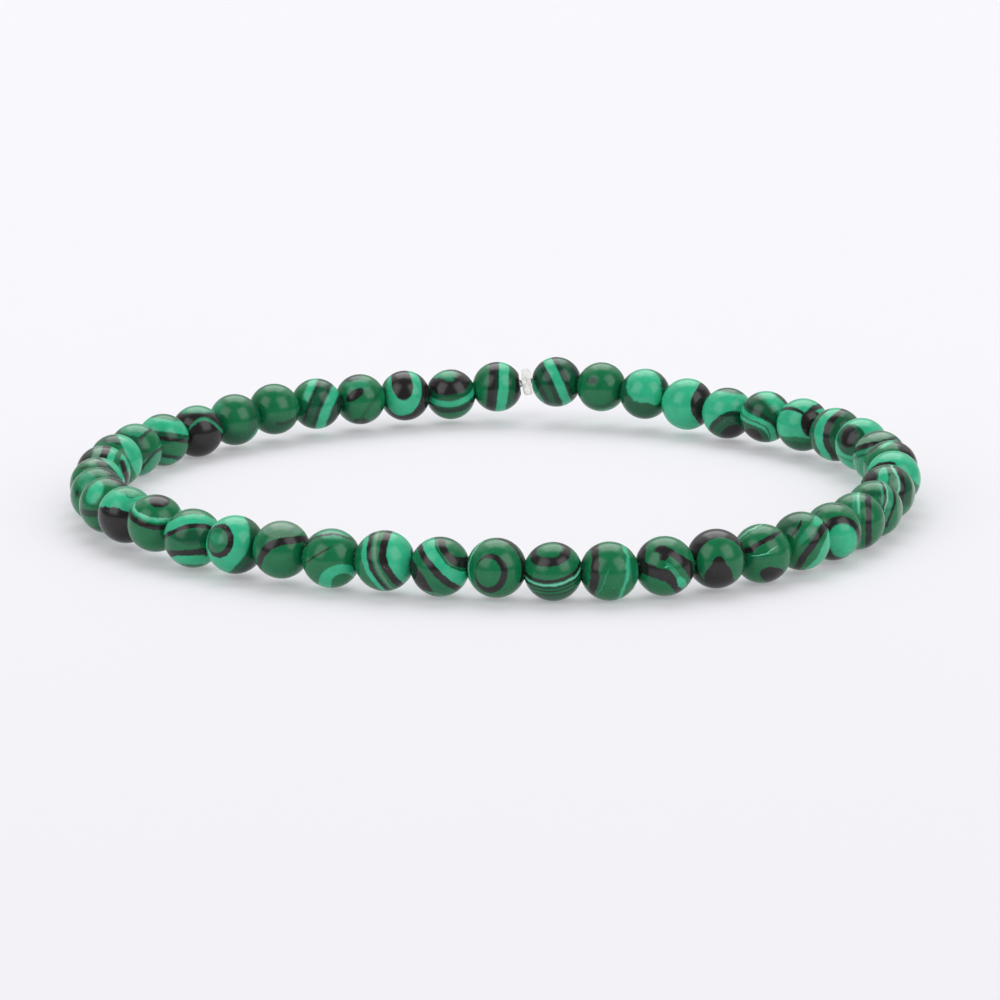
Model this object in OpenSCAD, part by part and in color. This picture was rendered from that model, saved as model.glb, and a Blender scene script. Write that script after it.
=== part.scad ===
// Stretch bracelet of small round banded stone beads, lying flat and unworn.
// The beads are drilled through and threaded on one clear elastic thread,
// which is tied in a small knot at the back, where a gap shows between the
// first and the last bead.
// Lengths are millimetres. +X is to the right, +Y to the back, +Z up.
// The beads rest on z = 0, and the middle of the loop's outline is x = y = 0.
// Beads are numbered clockwise from above, starting to the right of the knot.

/* [Beads] */
// Diameter of a middling bead
bead_d = 4.0; // [3.6:0.1:4.4]
// Difference in diameter between a small, a middling and a large bead
size_step = 0.07; // [0:0.01:0.1]
// Diameter of the hole through each bead
hole_d = 1.0; // [0.9:0.05:1.1]
// Diameter of the chamfer at each mouth of the hole
mouth_d = 1.24; // [1.15:0.01:1.3]
// Room between the drilled faces of two neighbours, which the bend closes on one side
seat_gap = 0.16; // [0.15:0.01:0.2]

/* [Loop] */
// Size of the loop against the one that the beads fill up to the knot
loop_scale = 1.0; // [1:0.005:1.02]
// Where the first bead sits, in degrees from +X towards +Y
first_angle = 80; // [79:0.5:81]
// How much of the rise and dip of the string is kept
lift_scale = 1.0; // [0:0.1:1]

/* [Thread] */
// Diameter of the elastic thread
thread_d = 0.6; // [0.5:0.05:0.6]
// Length of the knot along the thread
knot_l = 0.8; // [0.7:0.05:0.85]
// Height of the knot
knot_h = 2.2; // [1.8:0.1:2.4]
// Depth of the knot, front to back
knot_w = 1.1; // [0.8:0.1:1.2]

/* [Hidden] */
// Sizes follow the bead, so the loop of 46 beads always closes at the knot.
k = bead_d / 4;

// One letter for each bead: S small, M middling, L large.
size_code = "MSMLMMLLMMMMMMMMMMMMSSMMLMSMLMMMMMMMMMMMMMMMMM";
// One letter for each bead's main tone: l light, g green, d dark, b black.
tone_code = "lgdlllbgggllggglddgggggdlgglggblglglglbdggglgg";
bead_n = len(size_code);

// Shape of the loop as it lies: distance of the string from its middle, every
// 22.5 degrees round from +X towards +Y. It is a little wide, and flat in front.
loop_radius = [
  //  0     22.5  45    67.5     90    112.5 135   157.5
    28.8, 28.4, 27.1, 27.2,    27.8, 27.2, 27.7, 29.0,
  //  180   202.5 225   247.5    270   292.5 315   337.5
    29.1, 28.7, 26.9, 25.8,    26.2, 28.1, 28.6, 28.4];

// Where the string rises and dips: bead number, height of its underside over
// the surface. The beads between two rows rise evenly from one to the other.
settle = [
  [ 1, 1.35], [ 2, 1.20], [ 3, 0.90], [ 4, 0.45], [ 5, 0.25], [ 6, 0.50],
  [ 8, 0.35], [ 9, 0.40], [10, 0.25], [12, 0.45], [13, 0.30], [14, 0.00],
  [15, 0.00], [17, 0.20], [18, 0.00], [19, 0.20], [21, 0.00], [22, 0.00],
  [23, 0.15], [24, 0.10], [25, 0.25], [26, 0.15], [27, 0.40], [29, 0.10],
  [30, 0.55], [32, 0.30], [34, 0.00], [39, 0.00], [40, 0.30], [41, 0.60],
  [44, 0.50], [45, 0.35], [46, 0.85]];

// Radius of bead i (1 to bead_n)
function bead_r(i) = bead_d / 2
  + (size_code[i - 1] == "S" ? -1 : size_code[i - 1] == "L" ? 1 : 0) * size_step / 2;
// How far the drilled faces are let into the round of a bead
let_in = 0.104 * k;
// Half the length of bead i between its drilled faces
function half_l(i) = bead_r(i) - let_in - seat_gap / 2;
// Distance between the middles of beads i and i + 1
function step_l(i) = bead_r(i) + bead_r(i + 1) - 2 * let_in;
// Height of the middle of bead i
function bead_z(i) = bead_r(i) + lookup(i, settle) * lift_scale * k;

// Radius of the loop at angle a, smooth through the table's points
function loop_r(a) =
  let (n = len(loop_radius), q = a / 360 * n, j = floor(q), t = q - j,
       p = [for (m = [-1:2]) loop_radius[(((j + m) % n) + n) % n]])
  k * loop_scale / 2 * (2 * p[1] + (p[2] - p[0]) * t
    + (2 * p[0] - 5 * p[1] + 4 * p[2] - p[3]) * t * t
    + (3 * p[1] - p[0] - 3 * p[2] + p[3]) * t * t * t);
function on_loop(a) = loop_r(a) * [cos(a), sin(a)];

// Angle of the bead that lies a level distance d further on from angle a,
// found by correcting a first guess four times
function next_angle(a, d, g = undef, turn = 0) =
  let (b = is_undef(g) ? a - d / loop_r(a) * 180 / PI : g)
  turn == 4 ? b
  : next_angle(a, d, a + (b - a) * d / norm(on_loop(b) - on_loop(a)), turn + 1);

// Angles of all the beads, each found from the one before it
function level_step(i) = sqrt(pow(step_l(i), 2) - pow(bead_z(i + 1) - bead_z(i), 2));
bead_angle = [for (i = 1, a = first_angle; i <= bead_n;
  a = next_angle(a, i < bead_n ? level_step(i) : 1), i = i + 1) a];

// Middles of the beads, then moved so that the outline's middle is at x = y = 0
raw_mid = [for (i = [1:bead_n]) concat(on_loop(bead_angle[i - 1]), [bead_z(i)])];
function outline_mid(c) =
  (min([for (i = [1:bead_n]) raw_mid[i - 1][c] - bead_r(i)])
  + max([for (i = [1:bead_n]) raw_mid[i - 1][c] + bead_r(i)])) / 2;
outline_shift = [outline_mid(0), outline_mid(1), 0];
bead_mid = [for (p = raw_mid) p - outline_shift];
// Middle of bead i, counted round and round
function mid(i) = bead_mid[(i - 1 + bead_n) % bead_n];

function unit(v) = v / norm(v);
// Direction of the hole of bead i, between the ways to its two neighbours. The
// gap at the knot counts for less, because the bare thread turns more easily.
knot_pull = 0.6;
function hole_dir(i) = unit(
  (i % bead_n == 0 ? knot_pull : 1) * unit(mid(i + 1) - mid(i))
  + (i % bead_n == 1 ? knot_pull : 1) * unit(mid(i) - mid(i - 1)));
// Where the lines of the holes of beads i and i + 1 meet, or pass closest,
// when each is drawn on for half the distance between their middles
function meet(i) =
  let (h = norm(mid(i + 1) - mid(i)) / 2)
  (mid(i) + hole_dir(i) * h + mid(i + 1) - hole_dir(i + 1) * h) / 2;

// The gap at the back, with the knot in its middle
gap_mid = meet(bead_n);
gap_dir = unit(mid(1) - mid(bead_n));
// Clearance between the thread's ends and the faces of the knot
end_gap = 0.06;

// Points that the thread passes: out of the knot into the first bead, between
// each two beads, and out of the last bead to the knot
thread_path = concat(
  [gap_mid + unit(mid(1) - gap_mid) * (knot_l / 2 + end_gap)],
  [for (i = [1:bead_n - 1]) meet(i)],
  [gap_mid + unit(mid(bead_n) - gap_mid) * (knot_l / 2 + end_gap)]);
thread_sides = 8;

tone = [["l", [0.24, 0.72, 0.54]], ["g", [0.13, 0.50, 0.31]],
        ["d", [0.09, 0.33, 0.21]], ["b", [0.18, 0.17, 0.17]]];
function tone_of(i) = tone[search(tone_code[i - 1], tone)[0]][1];

function two(i) = str(i < 10 ? "0" : "", i);

// Puts a shape built along +Z at point p, pointing along v
module along(p, v) {
  translate(p) rotate([0, acos(v[2]), atan2(v[1], v[0])]) children();
}

// A round bead, its hole along +Z: flat drilled faces, chamfered mouths
module drilled_bead(r, half) {
  difference() {
    intersection() {
      sphere(r = r, $fn = 64);
      cube([3 * r, 3 * r, 2 * half], center = true);
    }
    cylinder(h = 3 * r, r = hole_d / 2, center = true, $fn = 32);
    for (s = [-1, 1])
      rotate([s < 0 ? 180 : 0, 0, 0])
        translate([0, 0, half - (mouth_d - hole_d) / 2])
          cylinder(h = mouth_d - hole_d, r1 = hole_d / 2,
                   r2 = hole_d / 2 + (mouth_d - hole_d), $fn = 32);
  }
}

module bead(i) {
  color(tone_of(i))
    along(mid(i), hole_dir(i)) drilled_bead(bead_r(i), half_l(i));
}

// A closed tube through the points of path, its end faces square to it
module tube(path, r, sides) {
  n = len(path);
  rings = [for (i = [0:n - 1])
    let (v = unit(unit(path[min(i + 1, n - 1)] - path[max(min(i, n - 2), 0)])
                + unit(path[max(i, 1)] - path[max(i - 1, 0)])),
         side = unit(cross([0, 0, 1], v)), up = cross(v, side))
    for (s = [0:sides - 1])
      path[i] + r * (side * cos(360 * s / sides) + up * sin(360 * s / sides))];
  polyhedron(
    points = rings,
    faces = concat(
      [[for (s = [0:sides - 1]) s]],
      [for (i = [0:n - 2], s = [0:sides - 1], h = [0, 1])
        let (a = i * sides + s, b = i * sides + (s + 1) % sides)
        h == 0 ? [a, a + sides, b] : [b, a + sides, b + sides]],
      [[for (s = [sides - 1:-1:0]) (n - 1) * sides + s]]));
}

module elastic_thread() {
  color([0.86, 0.86, 0.80]) tube(thread_path, thread_d / 2, thread_sides);
}

// The knot: a core that the thread enters, and two turns piled over and under it
module knot() {
  core = knot_w / 2;
  turn = (knot_h - 2 * core) / 2;
  color([0.84, 0.84, 0.78])
    translate(gap_mid)
      rotate([0, 0, atan2(gap_dir[1], gap_dir[0])])
        rotate([0, -asin(gap_dir[2]), 0])
          intersection() {
            cube([knot_l, 2 * knot_w, 2 * knot_h], center = true);
            union() {
              sphere(r = core + 0.02, $fn = 40);
              translate([-0.10, 0, core]) sphere(r = turn, $fn = 40);
              translate([0.10, 0, -core]) sphere(r = turn, $fn = 40);
              translate([0.02, 0.12, 0.4 * core]) sphere(r = 0.85 * core, $fn = 40);
              translate([-0.02, -0.12, -0.4 * core]) sphere(r = 0.85 * core, $fn = 40);
            }
          }
}

for (i = [1:bead_n])
  bead(i);
elastic_thread();
knot();
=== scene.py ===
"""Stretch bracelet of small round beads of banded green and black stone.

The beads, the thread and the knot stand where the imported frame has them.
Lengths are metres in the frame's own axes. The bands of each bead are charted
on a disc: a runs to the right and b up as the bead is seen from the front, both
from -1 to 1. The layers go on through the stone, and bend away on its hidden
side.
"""
import math

import bpy
import numpy as np
from mathutils import Matrix, Vector


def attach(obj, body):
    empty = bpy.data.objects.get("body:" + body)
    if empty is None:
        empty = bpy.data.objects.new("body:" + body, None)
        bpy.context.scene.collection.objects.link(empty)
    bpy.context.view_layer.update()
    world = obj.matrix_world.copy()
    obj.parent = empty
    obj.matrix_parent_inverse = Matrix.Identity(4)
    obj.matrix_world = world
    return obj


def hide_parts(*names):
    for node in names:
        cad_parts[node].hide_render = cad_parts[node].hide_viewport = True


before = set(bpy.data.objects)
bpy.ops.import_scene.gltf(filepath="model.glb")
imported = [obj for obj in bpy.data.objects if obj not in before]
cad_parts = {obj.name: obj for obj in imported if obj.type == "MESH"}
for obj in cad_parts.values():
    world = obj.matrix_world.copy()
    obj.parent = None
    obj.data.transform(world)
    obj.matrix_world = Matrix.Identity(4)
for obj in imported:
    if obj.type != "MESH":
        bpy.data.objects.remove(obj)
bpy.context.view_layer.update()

MM = 0.001
COUNT = 46


# ------------------------------------------------------------------ camera
def make_camera():
    """A long lens at 13.5 degrees above the surface, a little off level."""
    focal = 3759.52           # in pixels of a frame 1000 across
    distance = 0.274388
    rise = math.radians(13.4604)
    target = Vector((0.0001382, -0.0006377, 0.0020))
    seen_at = (497.4, 477.85)
    pan = math.atan((seen_at[0] - 500) / focal)
    tilt = math.atan((500 - seen_at[1]) / focal)
    roll = math.radians(0.4311)
    right = Vector((1, 0, 0))
    up = Vector((0, math.sin(rise), math.cos(rise)))
    ahead = Vector((0, math.cos(rise), -math.sin(rise)))
    place = target - ahead * distance
    right, ahead = (math.cos(pan) * right + math.sin(pan) * ahead,
                    math.cos(pan) * ahead - math.sin(pan) * right)
    up, ahead = (math.cos(tilt) * up + math.sin(tilt) * ahead,
                 math.cos(tilt) * ahead - math.sin(tilt) * up)
    right, up = (math.cos(roll) * right - math.sin(roll) * up,
                 math.cos(roll) * up + math.sin(roll) * right)
    data = bpy.data.cameras.new("camera")
    data.sensor_width = 36
    data.lens = 36 * focal / 1000
    data.clip_start = 0.01
    data.clip_end = 50
    cam = bpy.data.objects.new("camera", data)
    bpy.context.scene.collection.objects.link(cam)
    turn = Matrix((right, up, -ahead)).transposed()
    cam.matrix_world = Matrix.Translation(place) @ turn.to_4x4()
    bpy.context.scene.camera = cam
    return place, up


camera_place, camera_up = make_camera()


# ------------------------------------------------------- beads of the frame
class Bead:
    """Middle, radius, hole direction and length of a bead, from its solid."""

    def __init__(self, number):
        self.number = number
        self.node = "bead_%02d" % number
        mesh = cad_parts[self.node].data
        mesh.calc_loop_triangles()
        at = np.array([v.co for v in mesh.vertices], float)
        tri = at[np.array([t.vertices for t in mesh.loop_triangles])]
        normal = np.cross(tri[:, 1] - tri[:, 0], tri[:, 2] - tri[:, 0])
        area = np.linalg.norm(normal, axis=1)
        self.mid = (tri.mean(1) * area[:, None]).sum(0) / area.sum()
        away = np.linalg.norm(at - self.mid, axis=1)
        self.r = away.max()
        inner = at[away < 0.985 * self.r] - self.mid
        spread, ways = np.linalg.eigh(inner.T @ inner)
        self.hole = ways[:, 2]
        self.half = np.abs(inner @ self.hole).max()
        # The chart's axes: toward the front, up and to the right
        toward = np.array(camera_place) - self.mid
        self.toward = toward / np.linalg.norm(toward)
        up = np.array(camera_up)
        up = up - self.toward * (up @ self.toward)
        self.up = up / np.linalg.norm(up)
        self.right = np.cross(self.up, self.toward)

    def axis(self, a, b, c):
        """A direction of the chart in the frame's axes."""
        return a * self.right + b * self.up + c * self.toward


beads = [Bead(i) for i in range(1, COUNT + 1)]
for here, after in zip(beads, beads[1:]):
    if here.hole @ (after.mid - here.mid) < 0:
        here.hole = -here.hole
if beads[-1].hole @ (beads[-1].mid - beads[-2].mid) < 0:
    beads[-1].hole = -beads[-1].hole


def seat(here, after, room):
    """Where two neighbours sit against each other: the plane of the circle that
    their rounds share, and half of room back from it on each side."""
    d = after.mid - here.mid
    span = np.linalg.norm(d)
    way = d / span
    split = (span ** 2 + here.r ** 2 - after.r ** 2) / (2 * span)
    here.ahead, here.ahead_way = split - room / 2, way
    after.behind, after.behind_way = span - split - room / 2, -way


# Drilled faces of each bead, as a distance and a direction from its middle
for bead in beads:
    bead.ahead, bead.ahead_way = bead.half, bead.hole
    bead.behind, bead.behind_way = bead.half, -bead.hole
for here, after in zip(beads, beads[1:]):
    seat(here, after, 0.010 * MM)


# ------------------------------------------------------------------- tones
def srgb(r, g, b):
    """Linear colour of an 8-bit one."""
    return tuple(v / 3294.6 if v <= 10.3 else ((v / 255 + 0.055) / 1.055) ** 2.4
                 for v in (r, g, b))


TONES = {
    "T": srgb(112, 208, 172),   # pale line
    "L": srgb(51, 187, 140),    # light green
    "M": srgb(46, 150, 108),    # middling light green
    "O": srgb(92, 140, 112),    # greyish green
    "G": srgb(15, 116, 71),     # mid green
    "D": srgb(13, 90, 57),      # dark green
    "N": srgb(18, 56, 42),      # darkest green
    "K": srgb(33, 30, 31),      # soft black
    "B": srgb(60, 47, 32),      # dark brown
}


# ------------------------------------------- shapes that the charts are made of
def band(deg, lo, hi, tone, k1=0.0, k2=0.0, k3=0.0, q=None, tip=0.0, soft=1.0):
    """A band square to direction deg, from lo to hi along it. Its line bends by
    k1 q + k2 q^2 + k3 q^3 at q across, and tip turns its layer to the front."""
    return ("band", deg, lo, hi, tone, k1, k2, k3, q, tip, soft)


def over(deg, lo, tone, **more):
    """All that lies past lo in direction deg."""
    return band(deg, lo, 9.0, tone, **more)


def steps(deg, *edges, **more):
    """Bands one past the other: (edge, tone of all past it), ..."""
    return [over(deg, lo, tone, **more) for lo, tone in edges]


def stroke(points, width, tone, soft=1.0):
    """A line of this width through a few points of the chart."""
    p = np.array(points, float)
    way = p[-1] - p[0]
    deg = math.degrees(math.atan2(way[1], way[0])) - 90
    t = math.radians(deg)
    s = p @ np.array([math.cos(t), math.sin(t)])
    q = p @ np.array([-math.sin(t), math.cos(t)])
    fit = np.polyfit(q, s, min(3, len(p) - 1))[::-1]
    fit = np.concatenate([fit, np.zeros(4 - len(fit))])
    ends = [None, None]
    for side, k in ((0, 0), (1, -1)):
        if np.linalg.norm(p[k]) < 0.8:
            ends[side] = q[k]
    return band(deg, fit[0] - width / 2, fit[0] + width / 2, tone,
                fit[1], fit[2], fit[3], tuple(ends), 0.0, soft)


def spot(a, b, ra, rb, deg, tone, hollow=0.0, soft=1.0, deep=None):
    """An oval, or with hollow the ring outside that share of it. It goes on
    through the bead, or with deep reaches so far below the front surface."""
    return ("spot", a, b, ra, rb, deg, tone, hollow, soft, deep)


# ------------------------------------------------------------------ charts
# One entry for each bead: base tone, softness of the edges, unevenness, layers.
CHART = {
    1: ("D", 1.7, 0.9, steps(25, (-0.78, "N"), (-0.57, "D"), (-0.34, "N"), (-0.12, "L"),
                              (0.24, "N"), (0.44, "D"), (0.74, "N"), k2=-0.05)
        + [over(205, 0.80, "M")]),
    2: ("G", 1.8, 0.8, [spot(-0.36, 0.24, 0.17, 0.13, 25, "N", soft=2.0),
                         spot(-0.15, 0.25, 1.12, 1.12, 0, "D", hollow=0.88, soft=2.0),
                         over(-75, 0.88, "M")]),
    3: ("D", 1.9, 1.7, [spot(-0.05, 0.33, 0.68, 0.68, 0, "L"),
                         spot(0.34, -0.10, 0.30, 0.32, 0, "L"),
                         spot(0.74, 0.46, 0.13, 0.26, -20, "N", soft=2.5)]),
    4: ("L", 1.4, 1.4, [over(0, 0.11, "K", k2=0.60)]),
    5: ("L", 1.8, 1.0, [over(82, 0.80, "D"),
                         spot(0.28, -0.98, 1.08, 1.06, 0, "N"),
                         spot(0.28, -0.98, 0.90, 0.86, 0, "D"),
                         spot(0.30, -0.95, 0.58, 0.50, 0, "K")]),
    6: ("D", 1.6, 0.9, [band(46, 0.38, 0.86, "M", q=(-0.40, None), soft=2.0),
                         band(46, 0.48, 0.86, "L", q=(-0.36, None), soft=2.0),
                         over(46, 0.88, "N", soft=1.5),
                         stroke([(-0.82, 0.56), (-0.60, 0.34), (-0.30, 0.14), (0.00, -0.05), (0.30, -0.30), (0.50, -0.66)], 0.17, "N"),
                         stroke([(-0.98, 0.26), (-0.76, -0.02), (-0.40, -0.16), (-0.02, -0.36), (0.22, -0.66), (0.28, -0.92)], 0.36, "L"),
                         stroke([(-0.92, 0.12), (-0.62, -0.12), (-0.26, -0.26), (0.04, -0.48), (0.16, -0.82)], 0.055, "D"),
                         spot(-0.50, -0.76, 0.40, 0.28, -30, "K")]),
    7: ("L", 1.5, 0.9, [over(-100, 0.50, "G"), over(-95, 0.66, "D"),
                         spot(0.20, 0.02, 0.30, 0.48, 6, "K"), spot(0.36, 0.26, 0.30, 0.26, 0, "K"),
                         stroke([(-0.78, 0.58), (-0.36, 0.60), (0.02, 0.38)], 0.14, "K"),
                         stroke([(0.70, 0.72), (0.42, 0.62), (0.15, 0.30)], 0.22, "K"),
                         spot(-0.60, 0.02, 0.47, 0.50, 12, "L")]),
    8: ("D", 1.5, 1.0, steps(-8, (-0.82, "L"), (-0.50, "K"), (-0.24, "D"), (0.40, "K"),
                              (0.62, "D"), k2=0.55)),
    9: ("L", 1.4, 0.8, [spot(-0.38, 0.17, 0.54, 0.60, 0, "D"),
                         spot(-0.45, 0.27, 0.29, 0.41, -15, "K"),
                         stroke([(-0.62, -0.55), (-0.10, -0.62), (0.45, -0.30)], 0.12, "M")]),
    10: ("M", 1.4, 1.0, steps(107, (0.44, "N"), (0.57, "O"), (0.86, "D"))
         + [spot(-0.46, 0.45, 0.50, 0.075, 14, "K", soft=1.5), band(107, 0.22, 0.30, "D", soft=1.5),
            over(20, 0.84, "N", soft=2.0)]),
    11: ("G", 1.3, 0.9, [spot(-0.10, 0.88, 0.34, 0.06, 30, "L", soft=1.5),
                          spot(-0.56, 0.72, 0.34, 0.045, 38, "N", soft=1.5),
                          over(28, 0.60, "K", soft=1.5), over(28, 0.90, "B")]),
    12: ("L", 1.1, 0.8, [stroke([(-0.98, 0.10), (-0.70, 0.38), (-0.40, 0.53), (0.00, 0.53), (0.10, 0.50)], 0.12, "K"),
                          band(75, -1.5, 0.26, "G", k2=-0.3), over(-40, 0.90, "D", soft=2.0)]),
    13: ("D", 1.1, 1.0, [spot(-0.12, 0.52, 0.18, 0.38, 0, "L", soft=1.5),
                          spot(-0.60, 0.55, 0.25, 0.25, 0, "K", soft=1.5),
                          spot(0.22, 0.36, 0.15, 0.29, 0, "O", soft=1.5),
                          over(0, 0.33, "T", k1=0.30, k2=-0.55, soft=1.5), over(0, 0.42, "K", k1=0.30, k2=-0.55),
                          over(0, 0.63, "D", k1=0.15, k2=-0.35), over(0, 0.88, "O", k2=-0.2),
                          over(-98, 0.35, "G")]),
    14: ("G", 1.1, 1.0, [band(80, 0.44, 0.62, "D", q=(-0.20, 0.55), soft=1.5),
                          stroke([(0.50, 0.85), (0.58, 0.45), (0.52, 0.00), (0.42, -0.45)], 0.16, "M", soft=1.5),
                          stroke([(0.14, 0.95), (0.28, 0.62), (0.28, 0.30), (0.20, -0.05)], 0.10, "M", soft=1.5),
                          stroke([(0.26, 0.96), (0.38, 0.61), (0.37, 0.30), (0.28, -0.10)], 0.08, "K"),
                          stroke([(0.34, 0.95), (0.46, 0.62), (0.45, 0.30), (0.36, -0.10)], 0.05, "T"),
                          stroke([(0.62, 0.75), (0.71, 0.40), (0.70, 0.05), (0.53, -0.30), (0.40, -0.65)], 0.09, "K"),
                          over(0, 0.82, "O", k2=-0.15, soft=1.5)]),
    15: ("D", 1.1, 1.2, steps(0, (-0.56, "G"), (-0.14, "M"), (0.16, "G"), (0.315, "K"), (0.525, "G"))
         + [band(0, 0.05, 0.12, "T", q=(0.25, None), soft=1.5)]),
    16: ("G", 1.0, 0.9, [stroke([(-0.75, 0.35), (-0.45, 0.70), (0.05, 0.90)], 0.05, "N"),
                          spot(0.28, -0.30, 0.70, 0.84, 0, "K"),
                          spot(0.34, -0.32, 0.50, 0.58, 0, "L", soft=2.5)]),
    17: ("G", 1.0, 1.0, [over(155, 0.35, "D", soft=4.0),
                          spot(0.30, 0.38, 0.66, 0.13, 52, "M", soft=2.5),
                          spot(0.44, 0.40, 0.40, 0.06, 52, "O", soft=2.5),
                          spot(0.62, 0.74, 0.30, 0.16, 52, "L", soft=2.0),
                          spot(-0.14, 0.42, 0.36, 0.05, 60, "K"),
                          stroke([(0.90, 0.76), (0.62, 0.24), (0.28, -0.26), (-0.10, -0.86)], 0.23, "K"),
                          stroke([(1.00, 0.60), (0.78, 0.00), (0.40, -0.50), (0.08, -0.95)], 0.20, "G"),
                          stroke([(1.00, 0.30), (0.86, -0.24), (0.45, -0.84)], 0.26, "L"),
                          over(-25, 0.97, "K")]),
    18: ("G", 1.0, 1.0, [stroke([(-0.80, 0.44), (-0.42, 0.76), (-0.05, 0.95)], 0.035, "T"),
                          stroke([(-0.70, 0.42), (-0.26, 0.72), (0.10, 0.90)], 0.03, "M"),
                          spot(0.05, 0.40, 0.70, 0.085, 29, "K"), spot(-0.50, 0.10, 0.26, 0.10, 10, "K", soft=1.5),
                          spot(-0.05, -0.04, 0.34, 0.018, 8, "T"), spot(0.30, 0.10, 0.24, 0.018, 32, "T"),
                          spot(0.40, -0.74, 0.46, 0.30, -10, "K")]),
    19: ("G", 1.0, 0.9, [spot(0.14, -0.10, 1.60, 1.60, 0, "K", hollow=0.495),
                          over(135, 0.62, "K"),
                          spot(0.10, -0.30, 0.25, 0.38, 0, "K"), spot(0.10, -0.82, 0.50, 0.72, 0, "K"),
                          over(-140, 0.76, "N")]),
    20: ("G", 1.0, 1.6, [over(170, 0.70, "K"),
                          stroke([(-0.30, 0.60), (0.00, 0.44), (0.34, 0.44), (0.60, 0.10), (0.86, -0.20)], 0.27, "K"),
                          spot(-0.02, 0.34, 0.16, 0.14, 0, "K"), spot(0.74, 0.02, 0.18, 0.20, 0, "K"),
                          stroke([(-0.95, 0.10), (-0.58, -0.12), (0.00, -0.28), (0.38, -0.62), (0.55, -0.95)], 0.40, "K"),
                          spot(0.34, -0.24, 0.46, 0.085, -48, "M", soft=1.5),
                          spot(0.56, -0.54, 0.14, 0.20, 25, "L", soft=1.5), spot(0.02, -0.02, 0.06, 0.03, 0, "T")]),
    21: ("G", 1.1, 1.8, [over(180, 0.74, "D", k2=0.1, soft=2.0),
                          stroke([(-0.52, 0.95), (-0.50, 0.60), (-0.46, 0.15), (-0.50, -0.25), (-0.62, -0.85)], 0.29, "K"),
                          spot(-0.17, -0.35, 0.50, 0.02, 68, "M"),
                          over(0, 0.56, "L", k1=0.10, k2=-0.28, soft=1.5), over(0, 0.68, "G", k1=0.10, k2=-0.28, soft=1.5),
                          over(0, 0.90, "M", soft=2.0)]),
    22: ("D", 1.0, 0.9, [("axis", (-0.13, 0.79, 0.60),
                           [(-0.29, "N"), (-0.22, "G"), (-0.12, "N"), (-0.06, "G"), (0.01, "N"), (0.07, "D"),
                            (0.12, "T"), (0.20, "G"), (0.235, "K"), (0.345, "G"), (0.73, "K"), (0.90, "G")])]),
    23: ("G", 1.0, 1.0, [spot(-0.18, -0.18, 0.54, 0.64, -8, "K"),
                          spot(-0.28, -0.16, 0.42, 0.46, 0, "G"),
                          stroke([(0.10, 0.96), (0.50, 0.76), (0.80, 0.36), (0.86, -0.05)], 0.10, "K"),
                          stroke([(-0.70, 0.62), (-0.90, 0.20), (-0.90, -0.30)], 0.04, "T"),
                          over(0, 0.92, "K", k2=-0.1)]),
    24: ("G", 1.0, 1.0, steps(50, (-0.36, "K"), (-0.12, "L"), k1=0.12, k2=0.21)
         + [over(50, 0.20, "D", k1=0.12, k2=0.50), over(50, 0.25, "G", k1=0.12, k2=0.55),
            over(50, 0.31, "K", k1=0.12, k2=0.60), over(50, 0.55, "G", k2=1.2),
            over(211, 0.64, "K"), band(258, 0.90, 0.96, "M", soft=1.5), over(80, 0.90, "D", soft=2.0)]),
    25: ("G", 1.0, 1.0, steps(8, (-0.72, "L"), (-0.57, "K"), (-0.43, "G"), (-0.37, "O"), (-0.27, "G"),
                               k1=-0.12, k2=0.39)
         + steps(8, (-0.20, "K"), (0.07, "L"), (0.90, "D"), k1=-0.10, k2=0.53)),
    26: ("G", 1.0, 1.0, [spot(0.36, -0.82, 0.80, 0.62, 0, "L"),
                          spot(0.40, -0.90, 0.42, 0.40, 8, "G"),
                          spot(-0.44, 0.12, 0.56, 0.032, 32, "K"),
                          spot(0.10, 0.84, 0.62, 0.20, 0, "M", soft=3.0),
                          stroke([(-0.95, 0.30), (-0.70, 0.58), (-0.34, 0.76), (0.00, 0.80), (0.26, 0.76)], 0.065, "K"),
                          over(0, 0.72, "D", k2=0.2, soft=1.5)]),
    27: ("G", 1.0, 1.0, [spot(0.05, 0.74, 0.72, 0.36, 2, "O", soft=2.5),
                          stroke([(-0.80, -0.72), (-0.66, -0.20), (-0.44, 0.10), (-0.16, 0.25), (0.30, 0.29), (0.86, 0.36)], 0.28, "K")]),
    28: ("L", 1.1, 1.0, [over(0, 0.457, "D", k1=0.294, k2=-0.488, soft=1.8), over(-58, 0.80, "N", soft=3.0),
                          spot(-0.50, 0.12, 0.43, 0.59, -6, "K"),
                          spot(-0.60, 0.14, 0.33, 0.43, 0, "G"),
                          spot(-0.62, 0.20, 0.20, 0.20, 0, "M", soft=3.0)]),
    29: ("G", 1.0, 1.0, steps(94, (0.34, "K"), (0.50, "L"), (0.80, "G"), k2=-0.36)
         + [spot(0.05, 0.02, 0.70, 0.26, 0, "D", soft=4.0),
            band(-88, 0.38, 0.58, "K", q=(None, 0.55)), band(-90, 0.60, 0.86, "L")]),
    30: ("G", 1.0, 0.9, [("axis", (0.08, 0.86, 0.50),
                           [(-0.76, "T"), (-0.70, "K"), (-0.63, "G"), (0.29, "K"), (0.46, "G"),
                            (0.52, "L"), (0.58, "T"), (0.64, "G")]),
                          spot(0.13, 0.76, 0.36, 0.23, 0, "K")]),
    31: ("K", 1.0, 2.2, [over(77, 0.095, "L"), over(80, 0.66, "M", k2=0.4, soft=1.5),
                          stroke([(0.00, 0.78), (0.06, 0.64), (0.30, 0.62)], 0.04, "D")]),
    32: ("G", 1.0, 1.1, [spot(-0.44, 0.45, 0.25, 0.42, -25, "L", soft=2.5),
                          over(55, 0.80, "K", soft=2.0),
                          band(-95, 0.21, 0.46, "N", soft=2.0),
                          over(-95, 0.80, "D", soft=2.0), over(-85, 0.90, "M")]),
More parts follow.
